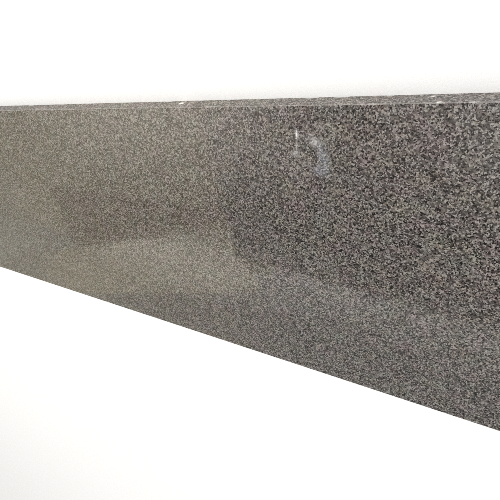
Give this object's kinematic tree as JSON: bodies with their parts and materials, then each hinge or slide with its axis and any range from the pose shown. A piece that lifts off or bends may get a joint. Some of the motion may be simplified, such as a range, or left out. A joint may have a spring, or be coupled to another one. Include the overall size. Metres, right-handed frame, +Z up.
{
  "type": "granite slab",
  "caption": "Flat rectangular strip of polished granite with sawn edges and chipped arrises, lying polished face up.",
  "frame": {"origin": "centre of the sawn underside, on the floor the slab lies on", "axes": "+X along the slab's length, +Y across its width, +Z up out of the polished face"},
  "size_m": [2.4, 0.6, 0.03],
  "materials": {
    "granite": "polished top face, sawn edges and back"
  },
  "bodies": {
    "root": {"granite_slab": "granite"}
  },
  "joints": []
}
